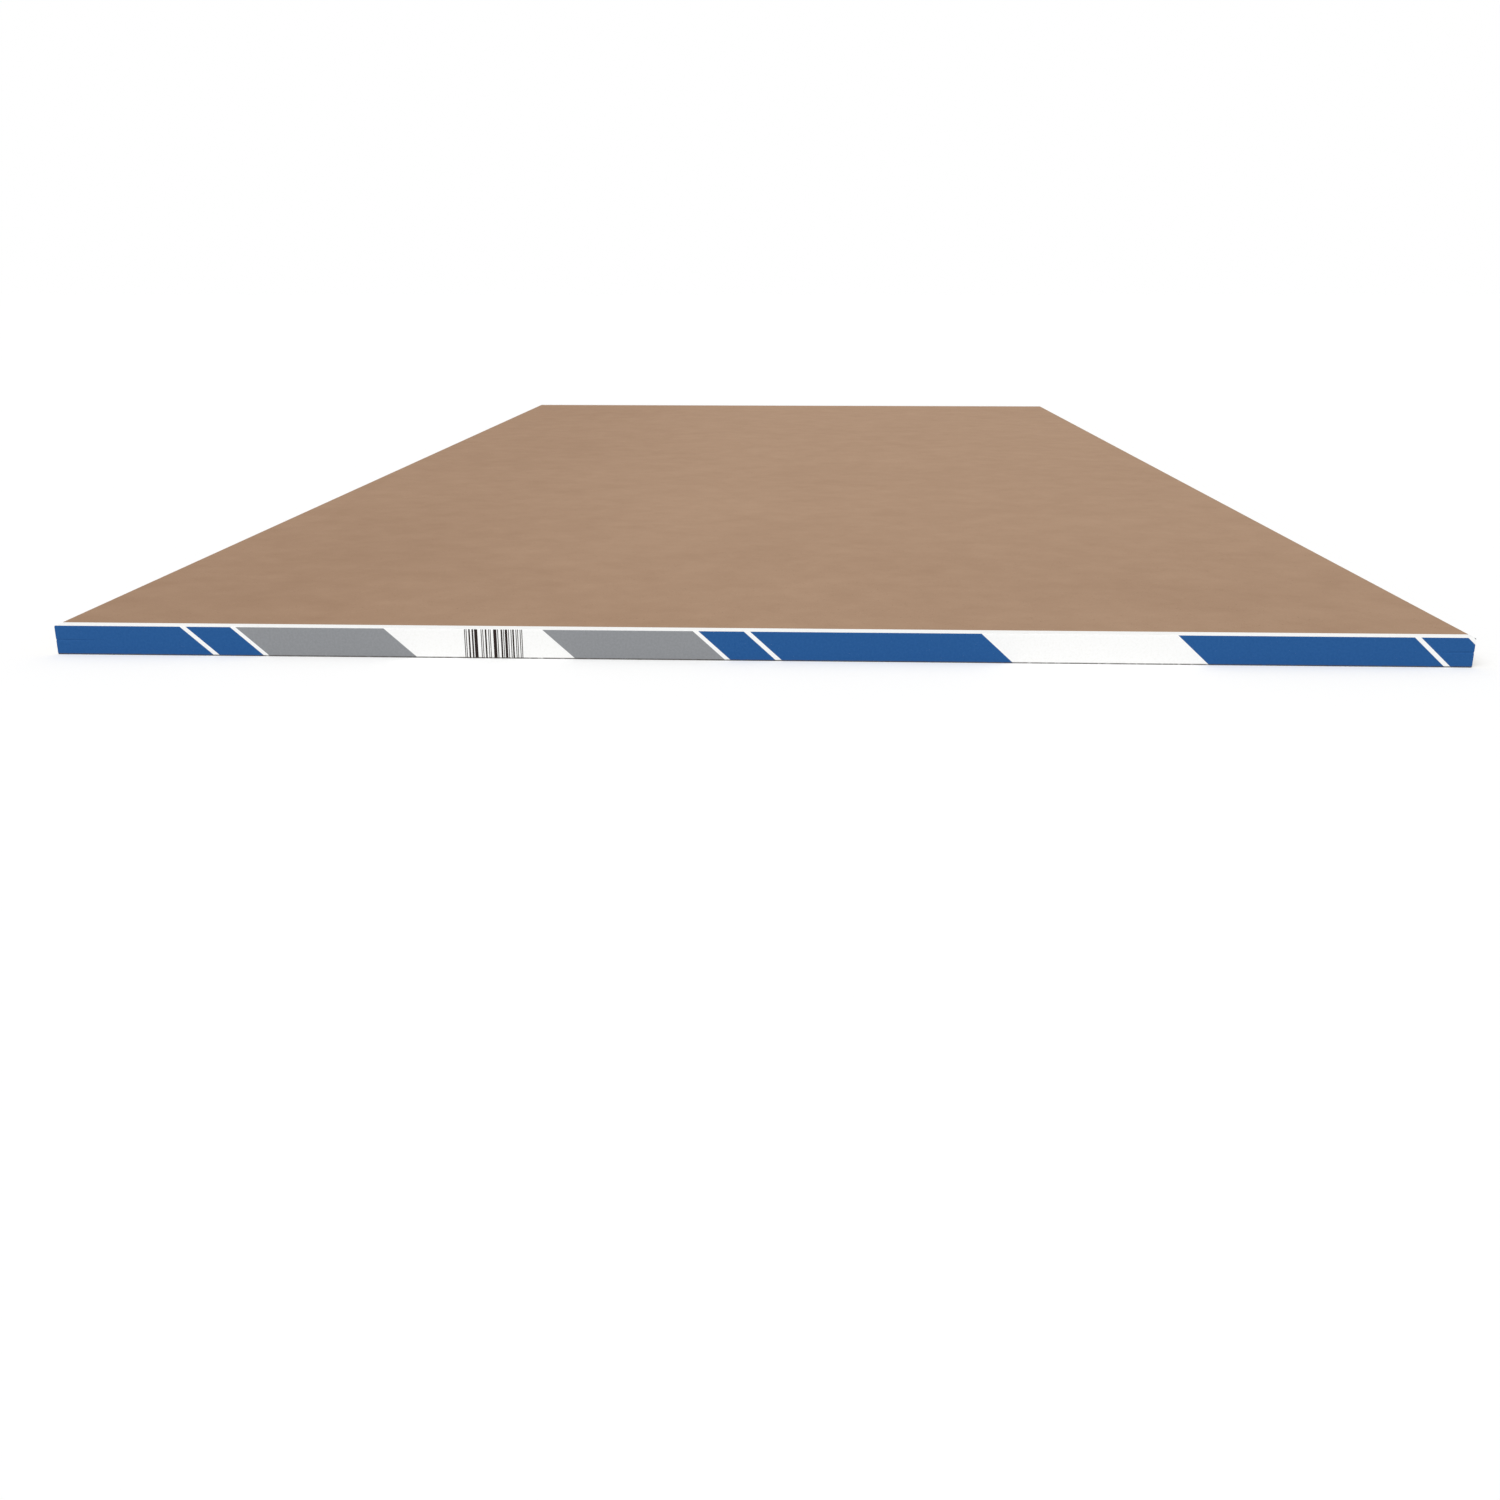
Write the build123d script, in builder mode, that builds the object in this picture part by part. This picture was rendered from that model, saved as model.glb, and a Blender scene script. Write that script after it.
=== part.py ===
from build123d import *
import os

# A pack of two gypsum wallboard sheets, the way wallboard is sold: laid face to face with their
# brown backs outside, and held together at each end by a strip of paper tape folded over both.
# Origin under the middle of the pack, X across the width, Y along the length, Z up.

# Sheet
sheet_width = 1216.6
sheet_length = 2435.8
sheet_thickness = 12.7
# Strip along each long edge where the face slopes away, to take joint compound on a wall
taper_width = 57.0
taper_depth = 1.5
# Round of the paper that is wrapped about the long edges
edge_radius = 1.0

# End tape, cut from a roll
tape_width = 50.8
tape_thickness = 0.2

# The pack, from the sheets and the tape under and over them
pack_height = 2 * (sheet_thickness + tape_thickness)
pack_length = sheet_length + 2 * tape_thickness
face_height = tape_thickness + sheet_thickness
tape_lap = (tape_width - pack_height) / 2

os.makedirs("parts", exist_ok=True)

# The lower sheet lies on its back, with its tapered face upwards
with BuildPart() as lower_sheet:
    with BuildSketch(Plane.XZ) as section:
        with BuildLine():
            Polyline(
                (-sheet_width / 2, tape_thickness),
                (sheet_width / 2, tape_thickness),
                (sheet_width / 2, face_height - taper_depth),
                (sheet_width / 2 - taper_width, face_height),
                (-sheet_width / 2 + taper_width, face_height),
                (-sheet_width / 2, face_height - taper_depth),
                close=True,
            )
        make_face()
        corners = section.vertices().group_by(Axis.X)
        fillet(corners[0] + corners[-1], edge_radius)
    extrude(amount=sheet_length / 2, both=True)
lower_sheet.part.label = "lower_sheet"
export_step(lower_sheet.part, "parts/lower_sheet.step")

# The upper sheet is a like one turned over, face to face with it
with BuildPart() as upper_sheet:
    mirror(lower_sheet.part, about=Plane.XY.offset(face_height))
upper_sheet.part.label = "upper_sheet"
export_step(upper_sheet.part, "parts/upper_sheet.step")

# The near tape covers both cut ends and laps on to both backs. Its folds bend by the paper's
# own thickness, and its two cut ends follow the rounded edges of the sheets.
sheet_end = -sheet_length / 2
lap_end = sheet_end + tape_lap
with BuildPart() as near_end_tape:
    with BuildSketch(Plane.YZ) as folded:
        with BuildLine():
            Polyline(
                (lap_end, 0),
                (sheet_end - tape_thickness, 0),
                (sheet_end - tape_thickness, pack_height),
                (lap_end, pack_height),
                (lap_end, pack_height - tape_thickness),
                (sheet_end, pack_height - tape_thickness),
                (sheet_end, tape_thickness),
                (lap_end, tape_thickness),
                close=True,
            )
        make_face()
        fillet(folded.vertices().group_by(Axis.X)[0], tape_thickness)
    extrude(amount=sheet_width / 2, both=True)
    with BuildSketch(Plane.XZ):
        with Locations((0, pack_height / 2)):
            RectangleRounded(sheet_width, pack_height, edge_radius + tape_thickness)
    extrude(amount=pack_length, both=True, mode=Mode.INTERSECT)
near_end_tape.part.label = "near_end_tape"
export_step(near_end_tape.part, "parts/near_end_tape.step")

# The far end is taped in the same way
with BuildPart() as far_end_tape:
    mirror(near_end_tape.part, about=Plane.XZ)
far_end_tape.part.label = "far_end_tape"
export_step(far_end_tape.part, "parts/far_end_tape.step")
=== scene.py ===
import math

import bpy
import numpy as np
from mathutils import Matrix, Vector


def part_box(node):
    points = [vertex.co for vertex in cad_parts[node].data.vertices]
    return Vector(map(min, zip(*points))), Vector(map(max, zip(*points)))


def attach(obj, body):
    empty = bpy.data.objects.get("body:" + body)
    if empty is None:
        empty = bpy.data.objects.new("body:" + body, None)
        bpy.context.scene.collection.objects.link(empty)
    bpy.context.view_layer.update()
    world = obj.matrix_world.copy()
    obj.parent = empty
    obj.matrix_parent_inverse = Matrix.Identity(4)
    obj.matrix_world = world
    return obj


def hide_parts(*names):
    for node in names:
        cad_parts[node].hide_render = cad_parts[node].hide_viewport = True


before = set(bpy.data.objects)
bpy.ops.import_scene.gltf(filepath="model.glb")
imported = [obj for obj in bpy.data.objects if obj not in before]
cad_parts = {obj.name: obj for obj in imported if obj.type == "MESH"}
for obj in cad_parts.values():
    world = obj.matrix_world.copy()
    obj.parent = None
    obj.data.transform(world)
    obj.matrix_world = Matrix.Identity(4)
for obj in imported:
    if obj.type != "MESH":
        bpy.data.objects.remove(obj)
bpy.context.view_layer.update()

# The two wallboard sheets
# Each is a gypsum core cast between two papers. The cream face paper wraps the long edges, where
# the face is pressed to a taper, and the brown back paper is glued over its two flaps.
sheet_low, sheet_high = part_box("upper_sheet")
sheet_half_width = sheet_high.x
sheet_half_length = sheet_high.y
sheet_thickness = sheet_high.z - sheet_low.z
pack_middle = sheet_low.z
taper_width = 0.057
taper_depth = 0.0015
edge_radius = 0.001
arc_steps = 9
crease = math.radians(35)
texture_margin = 0.01
edge_zoom = 10
hidden_zoom = 0.1
paper_gloss = 0.05


def rounded_outline(corners, radii):
    """Closed outline with each corner replaced by an arc that touches its two sides. The arc's centre
    lies on the corner's bisector, at the radius over the sine of half the corner's angle, and its
    points swing from one touching point to the other by spherical steps."""
    to_last = np.roll(corners, 1, axis=0) - corners
    to_next = np.roll(corners, -1, axis=0) - corners
    to_last /= np.linalg.norm(to_last, axis=1, keepdims=True)
    to_next /= np.linalg.norm(to_next, axis=1, keepdims=True)
    half_angle = np.arccos((to_last * to_next).sum(axis=1)) / 2
    bisector = to_last + to_next
    bisector /= np.linalg.norm(bisector, axis=1, keepdims=True)
    centre = corners + bisector * (radii / np.sin(half_angle))[:, None]
    first = corners + to_last * (radii / np.tan(half_angle))[:, None] - centre
    last = corners + to_next * (radii / np.tan(half_angle))[:, None] - centre
    swing = (math.pi - 2 * half_angle)[:, None, None]
    share = np.linspace(0, 1, arc_steps)[None, :, None]
    arc = np.sin((1 - share) * swing) * first[:, None] + np.sin(share * swing) * last[:, None]
    return (centre[:, None] + arc / np.sin(swing)).reshape(-1, 2)


def texture_strips(lengths, columns, strips):
    """Where the faces of a closed profile carried along in columns lie in a square texture, for the map
    called OFBake. The columns are shared out over strips, one above the other. Along a strip the columns
    are equally wide, and across it each step of the profile is as high as its share of the lengths. The
    corners of each face come in turn, step by step."""
    step, column = np.indices((len(lengths), columns)).reshape(2, -1, 1)
    way_round = np.append(0, np.cumsum(lengths)) / np.sum(lengths)
    in_strip = columns // strips
    u = (column % in_strip + np.array([0, 0, 1, 1])) / in_strip
    v = way_round[step + np.array([0, 1, 1, 0])]
    u, v = texture_margin + (1 - 2 * texture_margin) * np.array([u, v])
    return np.stack([u, (column // in_strip + v) / strips], axis=-1)


def new_piece(name, points, faces, smooth):
    """Puts arrays of points and faces into a mesh object at the origin. Faces marked smooth are shaded
    as one surface, up to the edges where they turn by more than a crease."""
    mesh = bpy.data.meshes.new(name)
    mesh.from_pydata(points.tolist(), [], faces)
    mesh.polygons.foreach_set("use_smooth", smooth)
    mesh.set_sharp_from_angle(angle=crease)
    piece = bpy.data.objects.new(name, mesh)
    bpy.context.scene.collection.objects.link(piece)
    return piece


def add_map(piece, name, corners):
    """Gives a piece a UV map, from the places of each face's corners in turn."""
    piece.data.uv_layers.new(name=name).data.foreach_set("uv", corners.ravel())


def sheet(name, up):
    """One sheet: its section, a flat back and a tapered face, carried straight along the length and
    closed by its two cut ends. Only the strips along the section's arcs are shaded smooth, and the cut
    ends take the second material. Its texture shows the long edges larger than the back and the hidden
    face smaller, with the cut ends in its margins. Up is 1 for the sheet above the pack's middle and -1
    for the other."""
    edge = sheet_half_width
    flat = sheet_half_width - taper_width
    corners = np.array([
        (-edge, sheet_thickness), (edge, sheet_thickness), (edge, taper_depth),
        (flat, 0), (-flat, 0), (-edge, taper_depth),
    ])
    bend = taper_width / 2
    radii = np.array([edge_radius, edge_radius, edge_radius, bend, bend, edge_radius])
    section = rounded_outline(corners, radii)[::up]
    count = len(section)
    near, far = (
        np.column_stack([section[:, 0], np.full(count, y), pack_middle + up * section[:, 1]])
        for y in (-sheet_half_length, sheet_half_length)
    )
    here = np.arange(count)
    beside = np.roll(here, -1)
    walls = np.column_stack([here, beside, beside + count, here + count])
    ends = [here[::-1].tolist(), (here + count).tolist()]
    smooth = np.append(here % arc_steps < arc_steps - 1, [False, False])
    piece = new_piece(name, np.vstack([near, far]), walls.tolist() + ends, smooth)
    piece.data.polygons.foreach_set("material_index", np.repeat(np.int32([0, 1]), [count, len(ends)]))
    middle = (section + section[beside]) / 2
    on_edge = np.abs(middle[:, 0]) > edge - edge_radius
    on_back = middle[:, 1] > sheet_thickness / 2
    zoom = np.where(on_edge, edge_zoom, np.where(on_back, 1, hidden_zoom))
    lengths = zoom * np.linalg.norm(section[beside] - section, axis=1)
    in_margin = texture_margin * section[:, 1] / (sheet_thickness + edge_radius)
    near_end = np.column_stack([in_margin, (1 + section[:, 0] / edge) / 2])
    far_end = np.array([1, 0]) + near_end * np.array([-1, 1])
    add_map(piece, "OFBake", np.vstack([*texture_strips(lengths, 1, 1), near_end[::-1], far_end]))
    return piece


class Tone:
    """A value on its way through a material. Sums on it add Math nodes to that material."""

    def __init__(self, socket):
        self.socket = socket
        self.tree = socket.id_data

    def node(self, kind, settings=(), sockets=(), out=0):
        """Adds a node, sets it, fills its sockets with values or links, and gives one of its outputs."""
        added = self.tree.nodes.new(kind)
        for name, value in dict(settings).items():
            setattr(added, name, value)
        for key, value in dict(sockets).items():
            if isinstance(value, Tone):
                self.tree.links.new(value.socket, added.inputs[key])
            else:
                added.inputs[key].default_value = value
        return Tone(added.outputs[out])

    def math(self, operation, *others):
        return self.node("ShaderNodeMath", {"operation": operation}, enumerate((self, *others)))

    def __add__(self, other):
        return self.math("ADD", other)

    def __sub__(self, other):
        return self.math("SUBTRACT", other)

    def __mul__(self, other):
        return self.math("MULTIPLY", other)

    def __truediv__(self, other):
        return self.math("DIVIDE", other)

    def __rsub__(self, other):
        return self.math("MULTIPLY_ADD", -1, other)

    def __abs__(self):
        return self.math("ABSOLUTE")

    __radd__ = __add__
    __rmul__ = __mul__

    def rise(self, start, end):
        """0 before start and 1 past end, with a smooth rise between them."""
        sockets = {"Value": self, "From Min": start, "From Max": end}
        return self.node("ShaderNodeMapRange", {"interpolation_type": "SMOOTHSTEP"}, sockets)

    def within(self, low, high, blur):
        """1 between low and high, and 0 outside."""
        return self.rise(low - blur, low + blur) - self.rise(high - blur, high + blur)

    def mix(self, colour, other):
        """The first colour where this value is 0, and the other where it is 1."""
        return self.node("ShaderNodeMix", {"data_type": "RGBA"}, {0: self, 6: colour, 7: other}, 2)

    def axis(self, name):
        return self.node("ShaderNodeSeparateXYZ", (), {0: self}, name)

    def stretched(self, x, y, z):
        return self.node("ShaderNodeVectorMath", {"operation": "MULTIPLY"}, {0: self, 1: (x, y, z)})

    def noise(self, size, detail=2):
        """Random lumps from 0 to 1, of about one size in metres, with finer ones in them."""
        sockets = {"Vector": self, "Scale": 1 / size, "Detail": detail, "Roughness": 0.6}
        return self.node("ShaderNodeTexNoise", (), sockets)

    def bump(self, height, **under):
        """A surface raised by this value, from 0 to 1, times a height in metres."""
        return self.node("ShaderNodeBump", (), {"Height": self, "Distance": height, **under})


def srgb(red, green, blue):
    """A colour given as 8-bit screen values, made linear by the sRGB curve."""
    share = np.array([red, green, blue]) / 255
    linear = np.where(share <= 0.04045, share / 12.92, ((share + 0.055) / 1.055) ** 2.4)
    return (*linear.tolist(), 1.0)


def new_material(name, specular):
    """A material with its shader, and the place of each point of the piece in the pack's frame."""
    material = bpy.data.materials.new(name)
    material.use_nodes = True
    shader = material.node_tree.nodes["Principled BSDF"]
    shader.inputs["Specular IOR Level"].default_value = specular
    place = Tone(shader.outputs[0]).node("ShaderNodeTexCoord", out="Object")
    return material, shader, place


def finish_surface(shader, colour, roughness, normal):
    """Feeds what changes over a surface to its shader."""
    links = shader.id_data.links
    links.new(colour.socket, shader.inputs["Base Color"])
    links.new(roughness.socket, shader.inputs["Roughness"])
    links.new(normal.socket, shader.inputs["Normal"])


def strands(place, size):
    """Hair-thin fibres that lie mostly along the length: level lines of a noise, cut short by another."""
    squeeze = 2.2
    level, line_width, line_blur = 0.5, 0.004, 0.01
    cut_from, cut_to = 0.5, 0.6
    off_level = abs(place.stretched(squeeze, 1, squeeze).noise(size) - level)
    lines = off_level.rise(line_width + line_blur, line_width)
    return lines * place.noise(2 * size).rise(cut_from, cut_to)


def sheet_paper():
    """Brown paper over the back, down to a slightly wavy edge on the round, and cream paper below it.
    Recycled fibres leave both cloudy, with clouds a few fingers wide in broader drifts, dark and pale
    strands and dark flecks. The brown is a little deeper towards the left edge and the near end, which is
    painted shade, and it is rubbed pale in places along the round. Each depth says how strongly a pattern
    shows."""
    back_brown = srgb(177, 147, 122)
    deep_brown = srgb(157, 127, 103)
    fleck_brown = srgb(128, 100, 78)
    rubbed_brown = srgb(203, 181, 160)
    face_cream = srgb(226, 220, 205)
    face_shade = srgb(208, 200, 182)
    drift_size, drift_depth = 0.4, 0.3
    cloud_size, cloud_depth = 0.0417, 0.8
    fibre_size, fibre_depth, fibre_squeeze, fibre_height = 0.0024, 0.6, 3, 0.00002
    fleck_size, fleck_depth, fleck_squeeze, fleck_from, fleck_to = 0.0038, 0.5, 1.8, 0.715, 0.755
    dark_size, pale_size, strand_depth, strand_relief = 0.0091, 0.0067, 0.4, 0.4
    left_shade_depth, left_end = 0.34, -0.9 * sheet_half_width
    near_shade_depth, near_start = 0.16, -0.25 * sheet_half_length
    least_depth = -0.55
    wander_size, wander_height = 0.07, 0.0004
    rub_size, rub_depth, rub_squeeze, rub_from, rub_to = 0.011, 0.8, 0.3, 0.42, 0.7
    shade_from, shade_to, fibre_shade, cloud_shade = 0.35, 0.8, 0.6, 0.4
    smooth_roughness, fibre_roughness = 0.82, 0.12
    material, shader, place = new_material("sheet_paper", paper_gloss)
    from_middle = abs(place.axis("Z") - pack_middle)
    arc_foot = sheet_thickness - edge_radius
    wander = wander_height * place.stretched(0, 1, 0).noise(wander_size)
    on_back = (from_middle + wander).rise(arc_foot, arc_foot + edge_radius / 2)
    fibres = place.stretched(fibre_squeeze, 1, fibre_squeeze).noise(fibre_size, detail=4)
    clouds = place.noise(cloud_size, detail=4)
    drifts = place.noise(drift_size)
    # Deeper brown towards the left edge and the near end is painted shade.
    left = place.axis("X").rise(0, left_end)
    near = place.axis("Y").rise(near_start, -sheet_half_length)
    dark_strands = strands(place, dark_size)
    pale_strands = strands(place, pale_size)
    flecks = place.stretched(fleck_squeeze, 1, fleck_squeeze).noise(fleck_size, detail=1)
    flecks = flecks.rise(fleck_from, fleck_to)
    depth = least_depth + drift_depth * drifts + cloud_depth * clouds + fibre_depth * fibres
    depth = depth + left_shade_depth * left + near_shade_depth * near + strand_depth * (dark_strands - pale_strands)
    brown = (fleck_depth * flecks).mix(depth.mix(back_brown, deep_brown), fleck_brown)
    arris = from_middle.within(arc_foot, sheet_thickness - edge_radius / 8, edge_radius / 8)
    rubbed = arris * place.stretched(1, rub_squeeze, 1).noise(rub_size, detail=5).rise(rub_from, rub_to)
    brown = (rub_depth * rubbed).mix(brown, rubbed_brown)
    shade = fibre_shade * fibres.rise(shade_from, shade_to) + cloud_shade * clouds
    colour = on_back.mix(shade.mix(face_cream, face_shade), brown)
    roughness = smooth_roughness + fibre_roughness * fibres
    finish_surface(shader, colour, roughness, (fibres + strand_relief * pale_strands).bump(fibre_height))
    return material


def gypsum_core():
    """Set gypsum, nearly white, full of fine bubbles and rough where it was cut."""
    core_white = srgb(226, 224, 219)
    bubble_grey = srgb(186, 184, 178)
    bubble_size, bubble_dent, bubble_from, bubble_to = 0.0011, 0.6, 0.55, 0.7
    grain_size, grain_height, grain_roughness, cut_roughness = 0.0033, 0.0003, 0.1, 0.9
    material, shader, place = new_material("gypsum_core", paper_gloss)
    bubbles = place.noise(bubble_size, detail=3).rise(bubble_from, bubble_to)
    grain = place.noise(grain_size, detail=4)
    colour = bubbles.mix(core_white, bubble_grey)
    roughness = cut_roughness + grain_roughness * grain
    finish_surface(shader, colour, roughness, (grain - bubble_dent * bubbles).bump(grain_height))
    return material


paper_and_core = [sheet_paper(), gypsum_core()]
for name, up in (("lower", -1), ("upper", 1)):
    board = sheet(name + "_board", up)
    for material in paper_and_core:
        board.data.materials.append(material)
    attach(board, "root")
    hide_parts(name + "_sheet")

# The end tapes
# Each is a strip of white paper from a printed roll, glued over both sheets' cut ends and folded
# on to their backs. Slanted bands of blue and grey and a block of bars are printed on the end.
tape_low, tape_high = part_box("near_end_tape")
tape_height = tape_high.z
tape_thickness = -sheet_half_length - tape_low.y
tape_lap = tape_high.y + sheet_half_length
fold_radius = 0.0005
cut_radius = edge_radius + tape_thickness
groove_dip = 0.0005
least_groove = 1e-6
lap_steps, fold_steps, end_steps, width_steps = 12, 7, 9, 240
tape_strips, lap_zoom, rim_zoom = 6, 0.4, 5


def folded_path(inset):
    """The strip seen from the side, a given depth under its outer face, as distances out from the sheets'
    ends and heights: a lap along the top, a quarter arc, the end, a quarter arc and a lap along the
    underside. Points lie closer together at the middle of the end, where the sheets meet."""
    middle, seam = tape_height / 2, 1.2 * taper_depth
    fold_out, fold_top = tape_thickness - fold_radius, tape_height - fold_radius
    radius = fold_radius - inset
    lap = np.linspace(-tape_lap, fold_out, lap_steps)
    turn = np.linspace(math.pi / 2, 0, fold_steps)[1:-1]
    fall = np.concatenate([
        np.linspace(fold_top, middle + seam, end_steps),
        np.linspace(middle + seam, middle - seam, 2 * end_steps)[1:-1],
        np.linspace(middle - seam, fold_radius, end_steps),
    ])
    fold = fold_out + radius * np.cos(turn)
    rise = radius * np.sin(turn)
    out = np.concatenate([lap, fold, np.full(len(fall), tape_thickness - inset), fold[::-1], lap[::-1]])
    height = np.concatenate([
        np.full(lap_steps, tape_height - inset), fold_top + rise, fall,
        fold_radius - rise[::-1], np.full(lap_steps, inset),
    ])
    return np.array([out, height])


def end_tape(name, facing, roll_start):
    """The folded strip, outer and inner path in one loop, carried across the width in equal steps. Its two
    cut ends keep inside the sheets' rounded edges, by the height of a circle at that depth below its
    top. Where the tapers leave a groove between the sheets the paper dips into it, most at the groove's
    middle and not at all at its sides. The map called roll says how far along and across the roll each
    point was, in metres. The texture shows the laps smaller than the end and the inside smallest, with
    the cut ends in its margins. Facing is 1 for the near end and -1 for the far one, which is the same
    strip turned half round."""
    outer = folded_path(0)
    count = outer.shape[1]
    loop = np.hstack([outer, folded_path(tape_thickness)[:, ::-1]])
    out, height = loop[:, :, None]
    across = np.linspace(-1, 1, width_steps + 1)
    in_round = np.clip(cut_radius - np.minimum(height, tape_height - height), 0, cut_radius)
    x = (sheet_half_width - cut_radius + np.sqrt(cut_radius**2 - in_round**2)) * across
    groove = np.clip((np.abs(x) - sheet_half_width + taper_width) / taper_width, least_groove, 1)
    off_middle = np.abs(height - tape_height / 2)
    hollow = np.clip(1 - (off_middle / (groove * taper_depth)) ** 2, 0, None) ** 2
    y = groove_dip * groove * hollow - sheet_half_length - out
    points = np.stack([facing * x, facing * y, np.broadcast_to(height, x.shape)], axis=-1).reshape(-1, 3)
    index = np.arange(x.size).reshape(x.shape)
    beyond = np.roll(index, -1, axis=0)
    skin = np.stack([index[:, :-1], beyond[:, :-1], beyond[:, 1:], index[:, 1:]], axis=-1).reshape(-1, 4)
    here = np.arange(count - 1)
    rim = np.stack([here, here + 1, 2 * count - 2 - here, 2 * count - 1 - here], axis=-1)
    faces = np.vstack([skin, index[rim, -1], index[rim, 0][:, ::-1]])
    piece = new_piece(name, points, faces.tolist(), np.ones(len(faces), bool))
    walked = np.append(0, np.cumsum(np.hypot(*np.diff(outer))))
    walked = np.append(walked, walked[::-1])[:, None]
    roll = np.stack([roll_start + x, np.broadcast_to(walked, x.shape)], axis=-1).reshape(-1, 2)
    add_map(piece, "roll", roll[faces])
    zoom = np.repeat(
        [lap_zoom, 1, lap_zoom, rim_zoom, hidden_zoom, rim_zoom],
        [lap_steps - 1, count + 1 - 2 * lap_steps, lap_steps - 1, 1, count - 1, 1],
    )
    lengths = zoom * np.hypot(*(np.roll(loop, -1, axis=1) - loop))
    layout = texture_strips(lengths, width_steps, tape_strips).reshape(2 * count, width_steps, 4, 2)
    in_margin = texture_margin / 2 * np.array([(0, 0), (0, 0), (1, 0), (1, 0)])
    last_rim = layout[:count - 1, -1][:, [3, 2, 2, 3]] + in_margin
    first_rim = layout[:count - 1, 0][:, [0, 1, 1, 0]] - in_margin
    add_map(piece, "OFBake", np.concatenate([layout.reshape(-1, 4, 2), last_rim, first_rim[:, ::-1]]))
    return piece


def printed_tape():
    """White paper with ink bands that repeat along the roll and mirror about the block of bars. Each band
    is a range of the distance from the mirror line, measured along a slant. The bars are cells of one
    width, inked or bare by a fixed draw. The ink is a little uneven, with pinholes, and smoother than
    the paper, which shows fibres and soft ripples from the glue. A thin grey line, broken up by noise
    along the lower fold, is painted shade at the tape's foot."""
    repeat = 1.055
    slant = 1.1
    grey_from, grey_to = 0.0689, 0.1986
    narrow_from, narrow_to = 0.2033, 0.2424
    wide_from, wide_to = 0.2476, 0.4447
    bars_from, bar_width, bar_count, bar_blur = 0.0011, 0.00072, 70, 0.01
    first_draw, inked_share = 8011, 0.5
    print_blur = 0.0002
    paper_white = srgb(247, 247, 246)
    fibre_shade = srgb(236, 236, 233)
    thick_blue = srgb(37, 85, 142)
    thin_blue = srgb(42, 90, 147)
    thick_grey = srgb(138, 140, 143)
    thin_grey = srgb(144, 146, 149)
    bar_black = srgb(46, 38, 37)
    # Grey of the painted shade along the lower fold.
    foot_shade_grey = srgb(80, 76, 72)
    fibre_size, fibre_depth, fibre_from, fibre_to, fibre_height = 0.0019, 0.5, 0.4, 0.8, 0.00002
    ripple_size, ripple_squeeze, ripple_height = 0.026, 0.3, 0.0004
    uneven_size, uneven_from, uneven_to = 0.002, 0.3, 0.7
    pinhole_size, pinhole_depth, pinhole_from, pinhole_to = 0.00067, 0.25, 0.75, 0.8
    foot_shade_size, foot_shade_depth, foot_shade_from, foot_shade_to = 0.006, 0.9, 0.1, 0.55
    foot_shade_over, foot_shade_under, foot_shade_blur = 0.0011, 0.0003, 0.0004
    paper_roughness, fibre_roughness, ink_shine = 0.68, 0.1, 0.12
    material, shader, place = new_material("printed_tape", paper_gloss)
    roll = place.node("ShaderNodeUVMap", {"uv_map": "roll"})
    along = roll.axis("X")
    down = roll.axis("Y") - tape_lap
    on_end = down.within(0, tape_height, print_blur)
    from_mirror = (along - slant * down).math("PINGPONG", repeat / 2)
    grey = on_end * from_mirror.within(grey_from, grey_to, print_blur)
    narrow = from_mirror.within(narrow_from, narrow_to, print_blur)
    blue = on_end * (narrow + from_mirror.within(wide_from, wide_to, print_blur))
    cell = (along.math("WRAP", repeat / 2, -repeat / 2) - bars_from) / bar_width
    number = cell.math("FLOOR") + first_draw
    draw = cell.node("ShaderNodeTexWhiteNoise", {"noise_dimensions": "1D"}, {"W": number})
    bars = on_end * draw.math("LESS_THAN", inked_share) * cell.within(0, bar_count, bar_blur)
    fibres = place.noise(fibre_size, detail=4)
    uneven = place.noise(uneven_size, detail=3).rise(uneven_from, uneven_to)
    pinholes = place.noise(pinhole_size, detail=1).rise(pinhole_from, pinhole_to)
    ripple = place.stretched(1, 1, ripple_squeeze).noise(ripple_size)
    # Painted shade: a thin grey line along the lower fold, at the tape's foot.
    lower_fold = down.within(tape_height - foot_shade_over, tape_height + foot_shade_under, foot_shade_blur)
    foot_shade = lower_fold * place.noise(foot_shade_size, detail=4).rise(foot_shade_from, foot_shade_to)
    ink = (grey + blue + bars) * (1 - pinhole_depth * pinholes)
    band_colour = blue.mix(uneven.mix(thick_grey, thin_grey), uneven.mix(thick_blue, thin_blue))
    ink_colour = bars.mix(band_colour, bar_black)
    paper_colour = (fibre_depth * fibres.rise(fibre_from, fibre_to)).mix(paper_white, fibre_shade)
    colour = (foot_shade_depth * foot_shade).mix(ink.mix(paper_colour, ink_colour), foot_shade_grey)
    roughness = paper_roughness + fibre_roughness * fibres - ink_shine * ink
    finish_surface(shader, colour, roughness, fibres.bump(fibre_height, Normal=ripple.bump(ripple_height)))
    return material


printed_paper = printed_tape()
mirror_line = 0.2499
far_cut = 0.61
for end, facing, roll_start in (("near", 1, mirror_line), ("far", -1, far_cut)):
    tape = end_tape(end + "_tape", facing, roll_start)
    tape.data.materials.append(printed_paper)
    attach(tape, "root")
    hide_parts(end + "_end_tape")

# The floor
# A wide, plain, pale studio floor that the pack lies on. It looks white to the camera, keeps the
# pack's shadow, and throws a little light back on to its edges.
floor_reach = 40.0
floor_white = 0.9
floor_lift = 0.1


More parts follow.
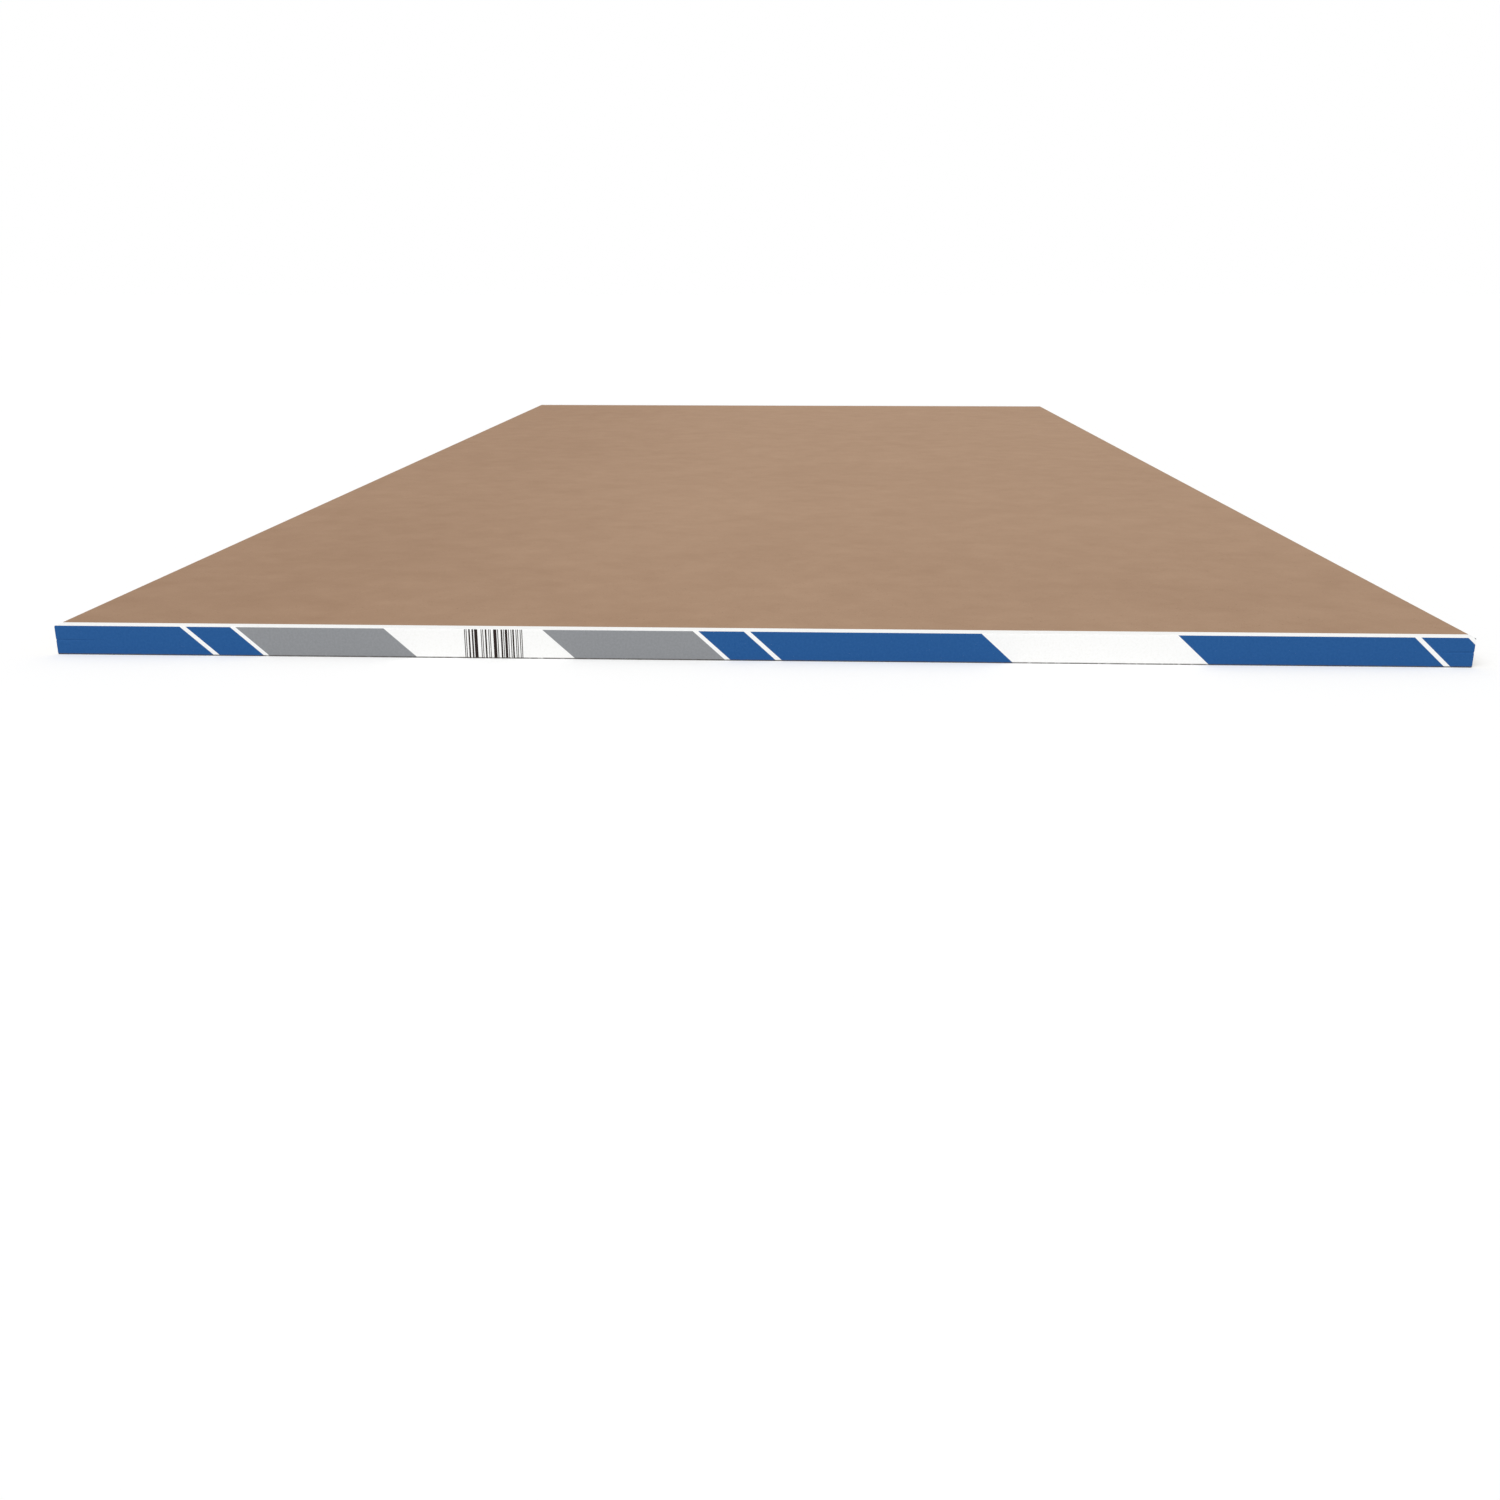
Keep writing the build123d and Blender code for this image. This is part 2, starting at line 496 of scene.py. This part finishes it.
def seen_directly(tone):
    """1 on what the camera sees, itself or in a mirror or a glass, and 0 on light that only spreads."""
    path = tone.node("ShaderNodeLightPath").socket.node
    camera_ray, mirror_ray, glass_ray = (
        Tone(path.outputs[kind]) for kind in ("Is Camera Ray", "Is Glossy Ray", "Is Transmission Ray")
    )
    return (camera_ray + mirror_ray + glass_ray).math("MINIMUM", 1)


floor_points = floor_reach * np.array([(-1, -1, 0), (1, -1, 0), (1, 1, 0), (-1, 1, 0)], float)
floor = new_piece("floor", floor_points, [(0, 1, 2, 3)], [False])
material, shader, place = new_material("floor_white", 0)
shader.inputs["Base Color"].default_value = (floor_white, floor_white, floor_white, 1)
shader.inputs["Roughness"].default_value = 1
shader.inputs["Emission Strength"].default_value = 1
lift = seen_directly(place).mix((0, 0, 0, 1), (floor_lift, floor_lift, floor_lift, 1))
material.node_tree.links.new(lift.socket, shader.inputs["Emission Color"])
floor.data.materials.append(material)

# The light
# An even white sky, as in a light tent, and one large soft lamp above the near end, to the left.
sky_strength = 0.6
lamp_strength = 1.65
lamp_softness = math.radians(50)
lamp_from = Vector((-0.35, -0.6, 0.85))
world = bpy.data.worlds.new("studio")
world.use_nodes = True
bpy.context.scene.world = world
sky = world.node_tree.nodes["Background"]
strength = sky_strength + (1 - sky_strength) * seen_directly(Tone(sky.outputs[0]))
world.node_tree.links.new(strength.socket, sky.inputs["Strength"])
sky.inputs["Color"].default_value = (1, 1, 1, 1)
lamp = bpy.data.objects.new("lamp", bpy.data.lights.new("lamp", "SUN"))
lamp.data.energy = lamp_strength
lamp.data.angle = lamp_softness
lamp.rotation_euler = lamp_from.to_track_quat("Z", "Y").to_euler()
bpy.context.scene.collection.objects.link(lamp)

# The camera
# It stands a little to the right before the near end, not far above the pack, and looks down on it.
camera_right, camera_before, camera_above = 0.0447, 1.2176, 0.2835
aim_right, aim_before = 0.0106, 0.3321
camera = bpy.data.objects.new("camera", bpy.data.cameras.new("camera"))
camera.data.sensor_width = 36.0
camera.data.lens = 35.0
camera.location = (camera_right, tape_low.y - camera_before, tape_height + camera_above)
aim = Vector((aim_right, tape_low.y - aim_before, tape_height))
camera.rotation_euler = (aim - camera.location).to_track_quat("-Z", "Y").to_euler()
bpy.context.scene.collection.objects.link(camera)
bpy.context.scene.camera = camera
bpy.context.scene.view_settings.view_transform = "Standard"
